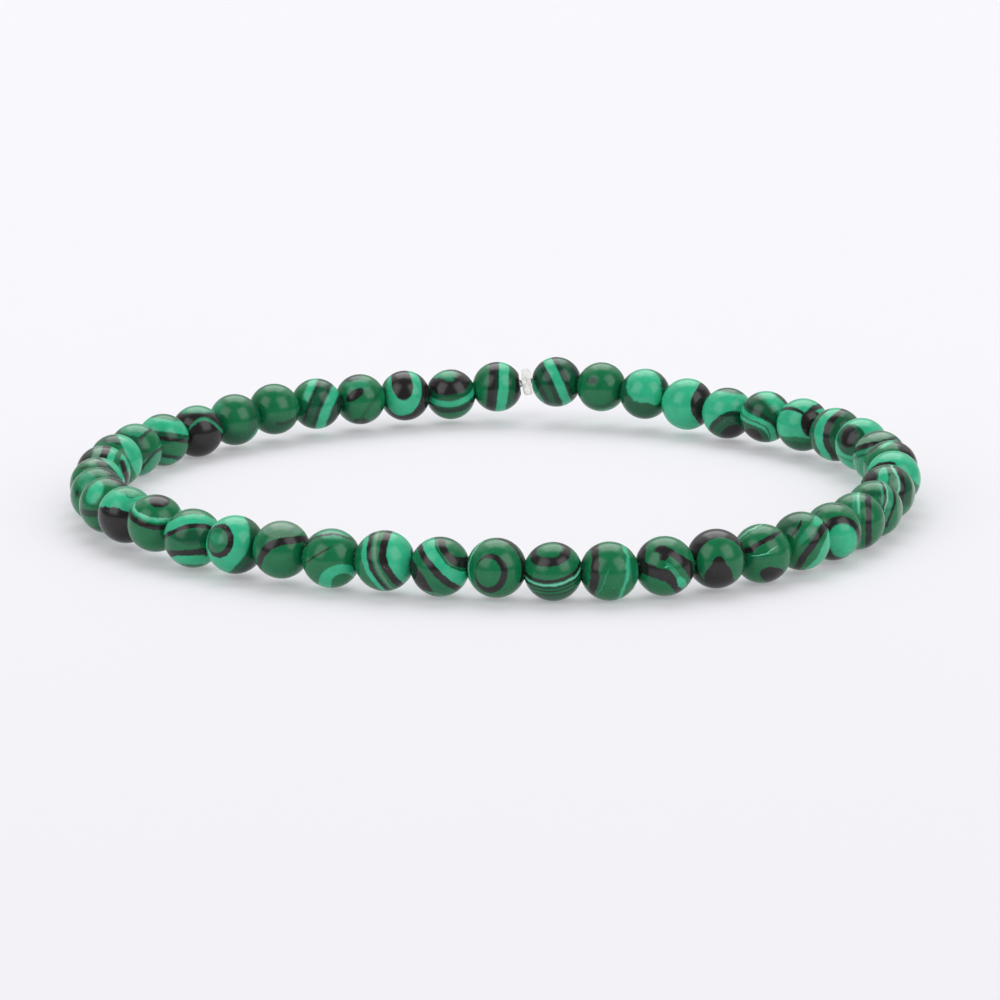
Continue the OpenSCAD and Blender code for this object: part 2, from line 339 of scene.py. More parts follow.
    33: ("G", 1.1, 1.0, [spot(-0.42, 0.50, 0.34, 0.30, 35, "M", soft=3.0),
                          over(45, 0.74, "N", soft=2.5), spot(-0.76, 0.04, 0.08, 0.14, 0, "N", soft=1.5, deep=0.4),
                          over(-60, 0.30, "D", soft=2.0)]),
    34: ("G", 1.1, 1.0, [spot(-0.16, 0.88, 0.44, 0.14, 4, "O", soft=2.5),
                          spot(-0.50, 0.62, 0.17, 0.045, 20, "N", soft=1.5),
                          spot(0.13, 0.70, 0.20, 0.11, -30, "N", soft=2.5),
                          over(35, 0.70, "N", k2=-0.30, soft=2.0),
                          over(35, 0.81, "L", k2=-0.30, soft=1.5)]),
    35: ("G", 1.1, 1.0, steps(-12, (-0.68, "O"), (-0.30, "K"), (0.00, "L"), (0.26, "G"), (0.48, "L"), k2=0.1)
         + [stroke([(0.67, 0.40), (0.74, 0.20), (0.82, -0.05), (0.90, -0.40)], 0.25, "K", soft=2.0),
            spot(0.70, 0.36, 0.13, 0.10, -60, "K", soft=2.0, deep=0.3),
            over(160, 0.62, "N", soft=2.5), over(165, 0.84, "B", soft=3.0)]),
    36: ("G", 1.2, 1.0, [spot(-0.18, 0.80, 0.36, 0.11, 10, "N", soft=4.0), spot(0.09, 0.66, 0.16, 0.06, -12, "N", soft=1.5),
                          over(25, 0.45, "L", soft=1.5), over(-16, 0.98, "D")]),
    37: ("D", 1.4, 1.0, [spot(0.00, 0.76, 0.60, 0.26, -8, "M", soft=2.0),
                          spot(0.36, 0.58, 0.42, 0.09, 44, "N", soft=2.0),
                          spot(0.62, 0.30, 0.36, 0.36, 0, "G", soft=2.0),
                          over(-50, 0.50, "M", k2=-0.1),
                          stroke([(0.20, -0.74), (0.43, -0.43), (0.67, -0.14), (0.96, 0.06)], 0.13, "N")]),
    38: ("G", 1.5, 0.9, steps(82, (-0.86, "M"), (-0.66, "N"), (-0.52, "G"), (-0.02, "K"), (0.14, "D"),
                               (0.32, "L"), (0.78, "G"))),
    39: ("K", 1.5, 0.8, [over(92, 0.70, "M", soft=2.0),
                          stroke([(-0.32, 0.08), (-0.08, 0.35), (0.26, 0.46), (0.62, 0.33), (0.96, -0.02)], 0.13, "M", soft=1.5)]),
    40: ("G", 1.8, 1.0, [over(-90, 0.45, "D", soft=5.0), over(0, 0.60, "D", k2=-0.2, soft=4.0),
                          spot(-0.72, 0.45, 0.25, 0.30, 0, "M", soft=4.0), over(-35, 0.90, "M")]),
    41: ("G", 1.8, 1.0, [over(-90, 0.50, "D", soft=6.0),
                          stroke([(0.06, -0.60), (0.50, -0.52), (0.88, -0.28)], 0.14, "N", soft=2.0)]),
    42: ("G", 1.7, 0.9, steps(-22, (-0.32, "N"), (-0.18, "D"), (0.12, "N"), (0.28, "L"),
                               (0.64, "N"), k2=0.06, soft=1.4)
         + [band(-22, -0.60, -0.32, "L", q=(-0.05, None), soft=1.4)]),
    43: ("G", 1.8, 1.0, [spot(-0.12, 0.55, 0.46, 0.22, 0, "M", soft=3.0),
                          spot(-0.35, 0.82, 0.36, 0.12, 15, "N", soft=3.0),
                          spot(-0.20, 0.17, 0.40, 0.20, 34, "K"),
                          spot(0.00, -0.92, 0.36, 0.20, 0, "K", soft=2.0),
                          band(-35, 0.42, 0.52, "D", soft=2.0), over(-35, 0.86, "D", soft=2.0),
                          band(-155, 0.62, 0.80, "D", soft=2.0)]),
    44: ("K", 1.7, 0.8, [spot(-0.07, 0.16, 0.74, 0.96, -6, "L"),
                          over(180, 0.74, "G", soft=2.0),
                          spot(-0.12, 0.46, 0.42, 0.66, 12, "K")]),
    45: ("G", 1.7, 0.8, [("axis", (-0.09, 0.80, 0.60),
                           [(-0.20, "N"), (0.04, "D"), (0.12, "L"), (0.36, "D"), (0.58, "K"), (0.945, "M")]),
                          spot(-0.62, 0.40, 0.20, 0.16, 0, "K"),
                          spot(-0.46, 0.82, 0.34, 0.15, 18, "M", soft=1.6)]),
    46: ("G", 1.8, 0.8, steps(-4.5, (-0.36, "K"), (-0.10, "N"), (0.04, "L"), (0.44, "D"), (0.72, "K"), k2=-0.06)),
}


# --------------------------------------------------------------- node groups
def sockets(group, ins, outs):
    for name, kind in ins:
        group.interface.new_socket(name, in_out="INPUT", socket_type=kind)
    for name, kind in outs:
        group.interface.new_socket(name, in_out="OUTPUT", socket_type=kind)


class Wires:
    """Short calls to add nodes to a tree."""

    def __init__(self, tree):
        self.tree = tree
        self.add = tree.nodes.new

    def put(self, value, socket):
        if isinstance(value, bpy.types.NodeSocket):
            self.tree.links.new(value, socket)
        elif value is not None:
            socket.default_value = value

    def maths(self, how, a, b=None, clamp=False):
        node = self.add("ShaderNodeMath")
        node.operation = how
        node.use_clamp = clamp
        self.put(a, node.inputs[0])
        self.put(b, node.inputs[1])
        return node.outputs[0]

    def vector(self, how, a, b=None, scale=None):
        node = self.add("ShaderNodeVectorMath")
        node.operation = how
        self.put(a, node.inputs[0])
        self.put(b, node.inputs[1])
        if scale is not None:
            self.put(scale, node.inputs["Scale"])
        return node.outputs["Value"] if how in ("DOT_PRODUCT", "LENGTH") else node.outputs["Vector"]

    def ease(self, value, start, end, lo=0.0, hi=1.0):
        node = self.add("ShaderNodeMapRange")
        node.interpolation_type = "SMOOTHSTEP"
        for k, v in enumerate((value, start, end, lo, hi)):
            self.put(v, node.inputs[k])
        return node.outputs[0]

    def line(self, value, start, end, lo=0.0, hi=1.0):
        node = self.add("ShaderNodeMapRange")
        for k, v in enumerate((value, start, end, lo, hi)):
            self.put(v, node.inputs[k])
        return node.outputs[0]

    def blend(self, share, a, b, how="MIX"):
        node = self.add("ShaderNodeMix")
        node.data_type = "RGBA"
        node.blend_type = how
        self.put(share, node.inputs[0])
        self.put(a, node.inputs[6])
        self.put(b, node.inputs[7])
        return node.outputs[2]

    def noise(self, at, scale, detail=2.0, rough=0.5):
        node = self.add("ShaderNodeTexNoise")
        self.put(at, node.inputs["Vector"])
        node.inputs["Scale"].default_value = scale
        node.inputs["Detail"].default_value = detail
        node.inputs["Roughness"].default_value = rough
        return node


V, F, C = "NodeSocketVector", "NodeSocketFloat", "NodeSocketColor"


def band_group():
    g = bpy.data.node_groups.new("stone_layer", "ShaderNodeTree")
    sockets(g, [("Under", C), ("Tone", C), ("At", V), ("Along", V), ("Across", V),
                ("K1", F), ("K2", F), ("K3", F), ("Lo1", F), ("Lo2", F), ("Hi1", F), ("Hi2", F),
                ("Q1", F), ("Q2", F), ("Q3", F), ("Q4", F)], [("Tone", C)])
    w = Wires(g)
    i = w.add("NodeGroupInput").outputs
    s = w.vector("DOT_PRODUCT", i["At"], i["Along"])
    q = w.vector("DOT_PRODUCT", i["At"], i["Across"])
    bend = w.maths("MULTIPLY", q, w.maths("ADD", i["K1"], w.maths(
        "MULTIPLY", q, w.maths("ADD", i["K2"], w.maths("MULTIPLY", q, i["K3"])))))
    s = w.maths("SUBTRACT", s, bend)
    share = w.maths("MULTIPLY", w.ease(s, i["Lo1"], i["Lo2"]), w.ease(s, i["Hi1"], i["Hi2"], 1.0, 0.0))
    share = w.maths("MULTIPLY", share, w.ease(q, i["Q1"], i["Q2"]))
    share = w.maths("MULTIPLY", share, w.ease(q, i["Q3"], i["Q4"], 1.0, 0.0))
    out = w.add("NodeGroupOutput")
    w.put(w.blend(share, i["Under"], i[1]), out.inputs[0])
    return g


def edge_group():
    """As the layer, but only its first edge: all past it takes the tone."""
    g = bpy.data.node_groups.new("stone_edge", "ShaderNodeTree")
    sockets(g, [("Under", C), ("Tone", C), ("At", V), ("Along", V), ("Across", V),
                ("K1", F), ("K2", F), ("K3", F), ("Lo1", F), ("Lo2", F)], [("Tone", C)])
    w = Wires(g)
    i = w.add("NodeGroupInput").outputs
    s = w.vector("DOT_PRODUCT", i["At"], i["Along"])
    q = w.vector("DOT_PRODUCT", i["At"], i["Across"])
    bend = w.maths("MULTIPLY", q, w.maths("ADD", i["K1"], w.maths(
        "MULTIPLY", q, w.maths("ADD", i["K2"], w.maths("MULTIPLY", q, i["K3"])))))
    share = w.ease(w.maths("SUBTRACT", s, bend), i["Lo1"], i["Lo2"])
    out = w.add("NodeGroupOutput")
    w.put(w.blend(share, i["Under"], i[1]), out.inputs[0])
    return g


def spot_group():
    g = bpy.data.node_groups.new("stone_eye", "ShaderNodeTree")
    sockets(g, [("Under", C), ("Tone", C), ("At", V), ("Middle", V), ("E1", V), ("E2", V),
                ("E3", V), ("In1", F), ("In2", F), ("Out1", F), ("Out2", F)], [("Tone", C)])
    w = Wires(g)
    i = w.add("NodeGroupInput").outputs
    d = w.vector("SUBTRACT", i["At"], i["Middle"])
    u = w.vector("DOT_PRODUCT", d, i["E1"])
    v = w.vector("DOT_PRODUCT", d, i["E2"])
    h = w.vector("DOT_PRODUCT", d, i["E3"])
    flat = w.maths("ADD", w.maths("MULTIPLY", u, u), w.maths("MULTIPLY", v, v))
    reach = w.maths("SQRT", w.maths("ADD", flat, w.maths("MULTIPLY", h, h)))
    share = w.maths("MULTIPLY", w.ease(reach, i["In1"], i["In2"]), w.ease(reach, i["Out1"], i["Out2"], 1.0, 0.0))
    out = w.add("NodeGroupOutput")
    w.put(w.blend(share, i["Under"], i[1]), out.inputs[0])
    return g


def place_group():
    """Place in a bead, in radii from its middle. Noise makes the layers uneven,
    and behind the widest part they bend away by Lean."""
    g = bpy.data.node_groups.new("stone_place", "ShaderNodeTree")
    sockets(g, [("Middle", V), ("Radii", F), ("Toward", V), ("Lean", V), ("Seed", V), ("Uneven", F)],
            [("At", V), ("Smooth", V)])
    w = Wires(g)
    i = w.add("NodeGroupInput").outputs
    coord = w.add("ShaderNodeTexCoord").outputs["Object"]
    p = w.vector("SCALE", w.vector("SUBTRACT", coord, i["Middle"]), scale=i["Radii"])
    hidden = w.maths("MAXIMUM", w.maths("SUBTRACT", 0.10, w.vector("DOT_PRODUCT", p, i["Toward"])), 0.0)
    seeded = w.vector("ADD", p, i["Seed"])
    half = (0.5, 0.5, 0.5)
    broad = w.vector("SUBTRACT", w.noise(seeded, 1.5, 1.0).outputs["Color"], half)
    small = w.vector("SUBTRACT", w.noise(seeded, 5.5, 2.0, 0.55).outputs["Color"], half)
    fine = w.vector("SUBTRACT", w.noise(seeded, 19.0, 2.0, 0.6).outputs["Color"], half)
    swing = w.maths("ADD", w.maths("MULTIPLY", hidden, 0.55), 0.10)
    at = w.vector("ADD", p, w.vector("SCALE", i["Lean"], scale=hidden))
    at = w.vector("ADD", at, w.vector("SCALE", broad, scale=w.maths("MULTIPLY", swing, i["Uneven"])))
    at = w.vector("ADD", at, w.vector("SCALE", small, scale=w.maths("MULTIPLY", i["Uneven"], 0.075)))
    at = w.vector("ADD", at, w.vector("SCALE", fine, scale=w.maths("MULTIPLY", i["Uneven"], 0.015)))
    out = w.add("NodeGroupOutput")
    w.put(at, out.inputs[0])
    w.put(p, out.inputs[1])
    return g


def finish_group():
    """Mottle, faint parallel lines and pale flecks in the stone, and the ground,
    dull and chipped stone round the mouths of the hole, with pale specks painted
    on it as glints off the chips."""
    g = bpy.data.node_groups.new("stone_finish", "ShaderNodeTree")
    sockets(g, [("Tone", C), ("At", V), ("Smooth", V), ("Seed", V), ("Grain", V), ("AheadWay", V),
                ("BehindWay", V), ("Ahead", F), ("Behind", F)],
            [("Tone", C), ("Roughness", F), ("Height", F)])
    w = Wires(g)
    i = w.add("NodeGroupInput").outputs
    seeded = w.vector("ADD", i["Smooth"], i["Seed"])
    mottle = w.noise(seeded, 2.6, 3.0, 0.55).outputs["Fac"]
    grain = w.noise(seeded, 24.0, 3.0, 0.65).outputs["Fac"]
    lines = w.maths("SINE", w.maths("ADD", w.maths(
        "MULTIPLY", w.vector("DOT_PRODUCT", i["At"], i["Grain"]), 46.0), w.maths("MULTIPLY", mottle, 9.0)))
    light = w.maths("ADD", w.line(mottle, 0.3, 0.7, 0.91, 1.10), w.maths("MULTIPLY", lines, 0.008))
    light = w.maths("ADD", light, w.line(grain, 0.3, 0.7, -0.035, 0.035))
    tone = w.vector("SCALE", i["Tone"], scale=light)
    fleck = w.ease(w.noise(seeded, 15.0, 1.0).outputs["Fac"], 0.735, 0.80)
    tone = w.blend(w.maths("MULTIPLY", fleck, 0.35), tone, (0.42, 0.66, 0.54, 1))
    # Ground faces, and chips along their edges
    past = w.maths("MAXIMUM", w.maths("SUBTRACT", w.vector("DOT_PRODUCT", i["Smooth"], i["AheadWay"]), i["Ahead"]),
                   w.maths("SUBTRACT", w.vector("DOT_PRODUCT", i["Smooth"], i["BehindWay"]), i["Behind"]))
    chips = w.noise(seeded, 9.0, 3.0, 0.7).outputs["Fac"]
    ground = w.ease(w.maths("SUBTRACT", past, w.line(chips, 0.35, 0.75, 0.020, -0.045)), -0.010, 0.010)
    # Dark dull ground with pale specks on it: the specks are painted glints off the chipped edges.
    glint_speck = w.ease(w.noise(seeded, 13.0, 3.0, 0.7).outputs["Fac"], 0.50, 0.60)
    ground_with_glints = w.blend(glint_speck, (0.030, 0.045, 0.040, 1), (0.50, 0.58, 0.54, 1))
    tone = w.blend(w.maths("MULTIPLY", ground, 0.85), tone, ground_with_glints)
    scratch = w.noise(w.vector("MULTIPLY", seeded, (3.0, 3.0, 22.0)), 6.0, 2.0, 0.6).outputs["Fac"]
    rough = w.line(scratch, 0.35, 0.8, 0.13, 0.24)
    rough = w.maths("ADD", rough, w.maths("MULTIPLY", ground, 0.45))
    height = w.maths("ADD", w.maths("MULTIPLY", w.maths("MULTIPLY", grain, ground), 1.0),
                     w.maths("MULTIPLY", mottle, 0.35))
    out = w.add("NodeGroupOutput")
    for k, v in enumerate((tone, rough, height)):
        w.put(v, out.inputs[k])
    return g


LAYER, EDGE, EYE, PLACE, FINISH = band_group(), edge_group(), spot_group(), place_group(), finish_group()
SOFT = 0.024      # half width of an edge between two tones, in radii


def rgba(tone, shift=1.0):
    return tuple(v * shift for v in TONES[tone]) + (1.0,)


def stone(bead, rng):
    """The banded stone of one bead, painted layer on layer from its chart."""
    base, soft, uneven, layers = CHART[bead.number]
    mat = bpy.data.materials.new("stone_%02d" % bead.number)
    mat.use_nodes = True
    tree = mat.node_tree
    tree.nodes.clear()
    w = Wires(tree)

    def use(group, **values):
        node = w.add("ShaderNodeGroup")
        node.node_tree = group
        for name, value in values.items():
            w.put(value, node.inputs[name])
        return node

    lean = rng.uniform(-0.75, 0.75, 2)
    seed = tuple(rng.uniform(-40, 40, 3))
    place = use(PLACE, Middle=tuple(bead.mid), Radii=1 / bead.r, Toward=tuple(bead.toward),
                Lean=tuple(bead.axis(lean[0], lean[1], 0)), Seed=seed, Uneven=uneven)
    at, smooth = place.outputs
    tone = rgba(base)
    grain_axis = None

    def paint(group, colour, **values):
        nonlocal tone
        node = use(group, Under=tone, At=at, **values)
        w.put(rgba(colour), node.inputs[1])
        tone = node.outputs[0]

    for layer in layers:
        if layer[0] == "axis":
            _, way, edges = layer
            length = math.sqrt(sum(v * v for v in way))
            along = bead.axis(*(v / length for v in way))
            grain_axis = along
            h = SOFT * soft
            for t, colour in edges:
                paint(EDGE, colour, Along=tuple(along), Across=tuple(bead.right),
                      Lo1=t - h, Lo2=t + h)
        elif layer[0] == "band":
            _, deg, lo, hi, colour, k1, k2, k3, q, tip, more = layer
            t = math.radians(deg)
            along = bead.axis(math.cos(t), math.sin(t), tip)
            across = bead.axis(-math.sin(t), math.cos(t), 0)
            h = SOFT * soft * more
            values = dict(Along=tuple(along), Across=tuple(across), K1=k1, K2=k2, K3=k3,
                          Lo1=lo - h, Lo2=lo + h)
            if grain_axis is None:
                grain_axis = along
            if hi > 5 and q is None:
                paint(EDGE, colour, **values)
            else:
                q0, q1 = q if q else (None, None)
                q0 = -9 if q0 is None else q0
                q1 = 9 if q1 is None else q1
                paint(LAYER, colour, Hi1=hi - h, Hi2=hi + h, Q1=q0 - 0.05, Q2=q0 + 0.04,
                      Q3=q1 - 0.04, Q4=q1 + 0.05, **values)
        else:
            _, a, b, ra, rb, deg, colour, hollow, more, deep = layer
            t = math.radians(deg)
            h = SOFT * soft * more / math.sqrt(ra * rb)
            c = math.sqrt(max(0.0, 1 - a * a - b * b)) if deep else 0.0
            paint(EYE, colour, Middle=tuple(bead.axis(a, b, c)),
                  E3=tuple(bead.axis(0, 0, 1 / deep if deep else 0)),
                  E1=tuple(bead.axis(math.cos(t) / ra, math.sin(t) / ra, 0)),
                  E2=tuple(bead.axis(-math.sin(t) / rb, math.cos(t) / rb, 0)),
                  In1=hollow - h if hollow else -2.0, In2=hollow + h if hollow else -1.0,
                  Out1=1 - h, Out2=1 + h)
    if grain_axis is None:
        grain_axis = bead.axis(0.5, 0.8, 0.3)
    last = use(FINISH, Tone=tone, At=at, Smooth=smooth, Seed=seed, Grain=tuple(grain_axis),
               AheadWay=tuple(bead.ahead_way), BehindWay=tuple(bead.behind_way),
               Ahead=bead.ahead / bead.r, Behind=bead.behind / bead.r)
    shader = w.add("ShaderNodeBsdfPrincipled")
    w.put(last.outputs["Tone"], shader.inputs["Base Color"])
    w.put(last.outputs["Roughness"], shader.inputs["Roughness"])
    shader.inputs["IOR"].default_value = 1.46
    bump = w.add("ShaderNodeBump")
    bump.inputs["Strength"].default_value = 0.35
    bump.inputs["Distance"].default_value = 0.00003
    w.put(last.outputs["Height"], bump.inputs["Height"])
    w.put(bump.outputs[0], shader.inputs["Normal"])
    w.put(shader.outputs[0], w.add("ShaderNodeOutputMaterial").inputs[0])
    return mat


# ------------------------------------------------------------------ meshes
def into_scene(name, verts, faces, material, smooth_deg):
    mesh = bpy.data.meshes.new(name)
    mesh.from_pydata([tuple(v) for v in verts], [], faces)
    mesh.validate()
    mesh.polygons.foreach_set("use_smooth", [True] * len(mesh.polygons))
    mesh.set_sharp_from_angle(angle=math.radians(smooth_deg))
    mesh.materials.append(material)
    obj = bpy.data.objects.new(name, mesh)
    bpy.context.scene.collection.objects.link(obj)
    return obj


def square_to(way):
    side = np.cross([0.0, 0.0, 1.0], way)
    side /= np.linalg.norm(side)
    return side, np.cross(way, side)


def bore_curve(bead, t):
    """The hole's middle line, relative to the bead's middle: t 0 behind, 1 ahead."""
    start, end = bead.behind_way * bead.behind, bead.ahead_way * bead.ahead
    way = end * t - start * (1 - t)
    return start * (1 - t) ** 2 + end * t ** 2, way / np.linalg.norm(way)


def bead_mesh(bead, rng):
    """Bore, chamfered mouths, drilled faces with chipped edges, and the round.
    Each ring is (middle, direction, radius, share of the chips, end)."""
    r = bead.r - 0.003 * MM
    bore, mouth = 0.50 * MM, 0.565 * MM
    turn = 64
    side, _ = square_to(bead.hole)
    chip = {}
    for end in (0, 1):
        wave = sum(np.sin(k * np.linspace(0, 2 * math.pi, turn, endpoint=False) + rng.uniform(0, 6.3))
                   * rng.uniform(0.3, 1.0) for k in (2, 3, 5, 8, 13, 17))
        wave += rng.normal(0, 0.5, turn)
        chip[end] = np.clip(wave - 0.7, 0, 2.2) * 0.018 * MM

    def face(end):
        """Rings of one end, from inside the bore out to the face's edge."""
        away, dist = ((bead.ahead_way, bead.ahead), (bead.behind_way, bead.behind))[end]
        axis = away if end == 0 else -away
        out = []
        for deep, wide in ((0.45, bore), (0.07, bore), (0.045, bore + 0.01 * MM)):
            mid, way = bore_curve(bead, 1 - deep / 2 if end == 0 else deep / 2)
            out.append((mid, way, wide, 0.0, end))
        flat = math.sqrt(r * r - dist * dist)
        for sunk, wide, share in ((0.012, mouth - 0.012 * MM, 0.0), (0.0, mouth, 0.1),
                                  (0.0, flat - 0.022 * MM, 0.9)):
            out.append((away * (dist - sunk * MM), axis, wide, share, end))
        return out

    rings = face(0)
    first = math.acos(bead.ahead / r) + 0.006
    last = math.pi - math.acos(bead.behind / r) - 0.006
    many = 40
    for k in range(many):
        t = first + (last - first) * k / (many - 1)
        end = 0 if t < math.pi / 2 else 1
        near = bead.ahead_way if end == 0 else -bead.behind_way
        s = (t - first) / (math.pi / 2 - first) if end == 0 else (last - t) / (last - math.pi / 2)
        axis = near * (1 - s) + bead.hole * s
        axis = axis / np.linalg.norm(axis)
        m = min(k, many - 1 - k)
        rings.append((axis * r * math.cos(t), axis, r * math.sin(t), {0: 1.0, 1: 0.3}.get(m, 0.0), end))
    rings += reversed(face(1))
    verts = []
    for mid, axis, wide, share, end in rings:
        u = side - axis * (side @ axis)
        u /= np.linalg.norm(u)
        v = np.cross(axis, u)
        inward = -axis if end == 0 else axis
        for s in range(turn):
            t = 2 * math.pi * s / turn
            cut = chip[end][s] * share
            verts.append(bead.mid + mid + (u * math.cos(t) + v * math.sin(t)) * (wide - 0.3 * cut) + inward * cut)
    faces = []
    n = len(rings)
    for k in range(n):
        k2 = (k + 1) % n
        for s in range(turn):
            s2 = (s + 1) % turn
            faces.append((k * turn + s, k2 * turn + s, k2 * turn + s2, k * turn + s2))
    return verts, faces


def tube(path, radii, sides, rounded=(True, True)):
    """Closed tube along a path, each end rounded or flat. radii is one for each point."""
    path = np.array(path, float)
    radii = np.array(radii, float)
    way = np.gradient(path, axis=0)
    way /= np.linalg.norm(way, axis=1)[:, None]
    r0, r1 = radii[0], radii[-1]
    cap = [math.radians(v) for v in (80, 60, 40, 20)]
    head = [(path[0] - way[0] * r0 * math.sin(t), way[0], r0 * math.cos(t)) for t in cap]
    tail = [(path[-1] + way[-1] * r1 * math.sin(t), way[-1], r1 * math.cos(t)) for t in reversed(cap)]
    rings = (head if rounded[0] else []) + list(zip(path, way, radii)) + (tail if rounded[1] else [])
    side, _ = square_to(rings[0][1]) if abs(rings[0][1][2]) < 0.95 else (np.array([1.0, 0, 0]), None)
    verts, n = [], len(rings)
    for at, along, r in rings:
        side = side - along * (side @ along)
        side /= np.linalg.norm(side)
        up = np.cross(along, side)
        for s in range(sides):
            t = 2 * math.pi * s / sides
            verts.append(at + (side * math.cos(t) + up * math.sin(t)) * r)
    faces = [(k * sides + s, k * sides + (s + 1) % sides, (k + 1) * sides + (s + 1) % sides, (k + 1) * sides + s)
             for k in range(n - 1) for s in range(sides)]
    faces.append(tuple(reversed(range(sides))))
    faces.append(tuple((n - 1) * sides + s for s in range(sides)))
    return verts, faces


def smooth_path(points, between):
    """Points along a smooth curve through the given ones."""
    p = np.array(points, float)
    p = np.vstack([2 * p[0] - p[1], p, 2 * p[-1] - p[-2]])
    out = []
    for k in range(1, len(p) - 2):
        for m in range(between):
            t = m / between
            out.append(0.5 * (2 * p[k] + (p[k + 1] - p[k - 1]) * t
                              + (2 * p[k - 1] - 5 * p[k] + 4 * p[k + 1] - p[k + 2]) * t * t
                              + (3 * p[k] - p[k - 1] - 3 * p[k + 1] + p[k + 2]) * t ** 3))
    out.append(p[-2])
    return np.array(out)


def fused(verts, faces, cell):
    """One skin round tubes that run through each other, from cells of this
    size in mm, then smoothed."""
    mesh = bpy.data.meshes.new("strands")
    mesh.from_pydata([tuple(v / MM) for v in verts], [], faces)
    rough = bpy.data.objects.new("strands", mesh)
    bpy.context.scene.collection.objects.link(rough)
    remesh = rough.modifiers.new("skin", "REMESH")
    remesh.mode = "VOXEL"
    remesh.voxel_size = cell
    even = rough.modifiers.new("even", "SMOOTH")
    even.factor, even.iterations = 0.5, 4
    made = rough.evaluated_get(bpy.context.evaluated_depsgraph_get()).to_mesh()
    verts = [np.array(v.co) * MM for v in made.vertices]
    faces = [tuple(f.vertices) for f in made.polygons]
    bpy.data.objects.remove(rough, do_unlink=True)
    bpy.data.meshes.remove(mesh)
    return verts, faces


# ------------------------------------------------------------ build the beads
for bead in beads:
    rng = np.random.default_rng(700 + bead.number)
    verts, faces = bead_mesh(bead, rng)
    piece = into_scene("stone_bead_%02d" % bead.number, verts, faces, stone(bead, rng), 17)
    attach(piece, "root")
    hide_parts(bead.node)


# ------------------------------------------------------- elastic and its knot
def elastic(name, tone, clear, rough, milky=0.0, bend=1.45):
    mat = bpy.data.materials.new(name)
    mat.use_nodes = True
    tree = mat.node_tree
    w = Wires(tree)
    shader = tree.nodes["Principled BSDF"]
    coord = w.add("ShaderNodeTexCoord").outputs["Object"]
    cloud = w.noise(coord, 2200.0, 2.0).outputs["Fac"]
    dark = tuple(v * 0.90 for v in tone[:3]) + (1,)
    w.put(w.blend(w.line(cloud, 0.35, 0.65), dark, tone), shader.inputs["Base Color"])
    w.put(w.line(cloud, 0.3, 0.7, rough - 0.05, rough + 0.08), shader.inputs["Roughness"])
    shader.inputs["IOR"].default_value = bend
    shader.inputs["Transmission Weight"].default_value = clear
    shader.inputs["Subsurface Weight"].default_value = milky
    shader.inputs["Subsurface Radius"].default_value = (1.0, 1.0, 0.95)
    shader.inputs["Subsurface Scale"].default_value = 0.0006
    return mat


def meet(here, after):
    """Where the holes of two neighbours meet, as the frame's thread has it."""
    h = np.linalg.norm(after.mid - here.mid) / 2
    return (here.mid + here.hole * h + after.mid - after.hole * h) / 2


knot_mid = meet(beads[-1], beads[0])
to_first = beads[0].mid - knot_mid
to_last = beads[-1].mid - knot_mid
to_first /= np.linalg.norm(to_first)
to_last /= np.linalg.norm(to_last)
line = [knot_mid + to_first * 0.455 * MM]
for bead in beads:
    line += [bead.mid + bore_curve(bead, k / 8)[0] for k in range(8)]
line += [beads[-1].mid + beads[-1].ahead_way * beads[-1].ahead, knot_mid + to_last * 0.455 * MM]
verts, faces = tube(line, [0.285 * MM] * len(line), 18, (False, False))
thread = into_scene("clear_thread", verts, faces, elastic("thread_clear", (0.84, 0.86, 0.82, 1), 0.85, 0.16, bend=1.3), 60)
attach(thread, "root")
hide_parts("elastic_thread")

gap_way = beads[0].mid - beads[-1].mid
gap_way /= np.linalg.norm(gap_way)
level = np.array([gap_way[0], gap_way[1], 0.0])
level /= np.linalg.norm(level)
depth = np.cross([0.0, 0.0, 1.0], level)
rise_way = np.cross(gap_way, depth)


def in_knot(x, y, z):
    """A place in the knot: x to the right along the thread, y to the back, z up, in mm."""
    return knot_mid + (gap_way * x + depth * y + rise_way * z) * MM


STRANDS = [
    # from the last bead: up in front, over the top, down behind and round below
    [(-0.39, 0.00, 0.00), (-0.30, 0.00, 0.00), (-0.20, -0.12, 0.12), (-0.18, -0.30, 0.42), (-0.08, -0.16, 0.78),
     (0.08, 0.12, 0.84), (0.16, 0.30, 0.52), (0.10, 0.34, 0.06), (-0.04, 0.28, -0.42), (-0.16, 0.02, -0.70),
     (-0.08, -0.28, -0.58), (0.12, -0.34, -0.18), (0.16, -0.22, 0.22), (0.04, -0.02, 0.46), (-0.15, 0.14, 0.66),
     (-0.20, 0.10, 0.86)],
    # from the first bead: down behind, under, up in front and through the middle
    [(0.39, 0.00, 0.00), (0.30, 0.00, 0.00), (0.20, 0.14, -0.14), (0.12, 0.30, -0.50), (0.00, 0.10, -0.86),
     (-0.14, -0.16, -0.80), (-0.20, -0.32, -0.40), (-0.20, -0.34, 0.06), (0.02, -0.26, 0.38), (0.18, 0.02, 0.50),
     (0.06, 0.26, 0.30), (-0.18, 0.26, -0.04), (-0.12, 0.04, -0.36), (0.10, -0.16, -0.62), (0.19, -0.18, -0.86)],
]
verts, faces = [], []
for points in STRANDS:
    line = smooth_path([in_knot(*p) for p in points], 6)
    more, round_it = tube(line, [0.195 * MM] * len(line), 16, (False, True))
    faces += [tuple(v + len(verts) for v in f) for f in round_it]
    verts += more
verts, faces = fused(verts, faces, 0.022)
knot = into_scene("thread_knot", verts, faces, elastic("knot_clear", (0.91, 0.91, 0.86, 1), 1.0, 0.30, 0.0, 1.12), 60)
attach(knot, "root")
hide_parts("knot")


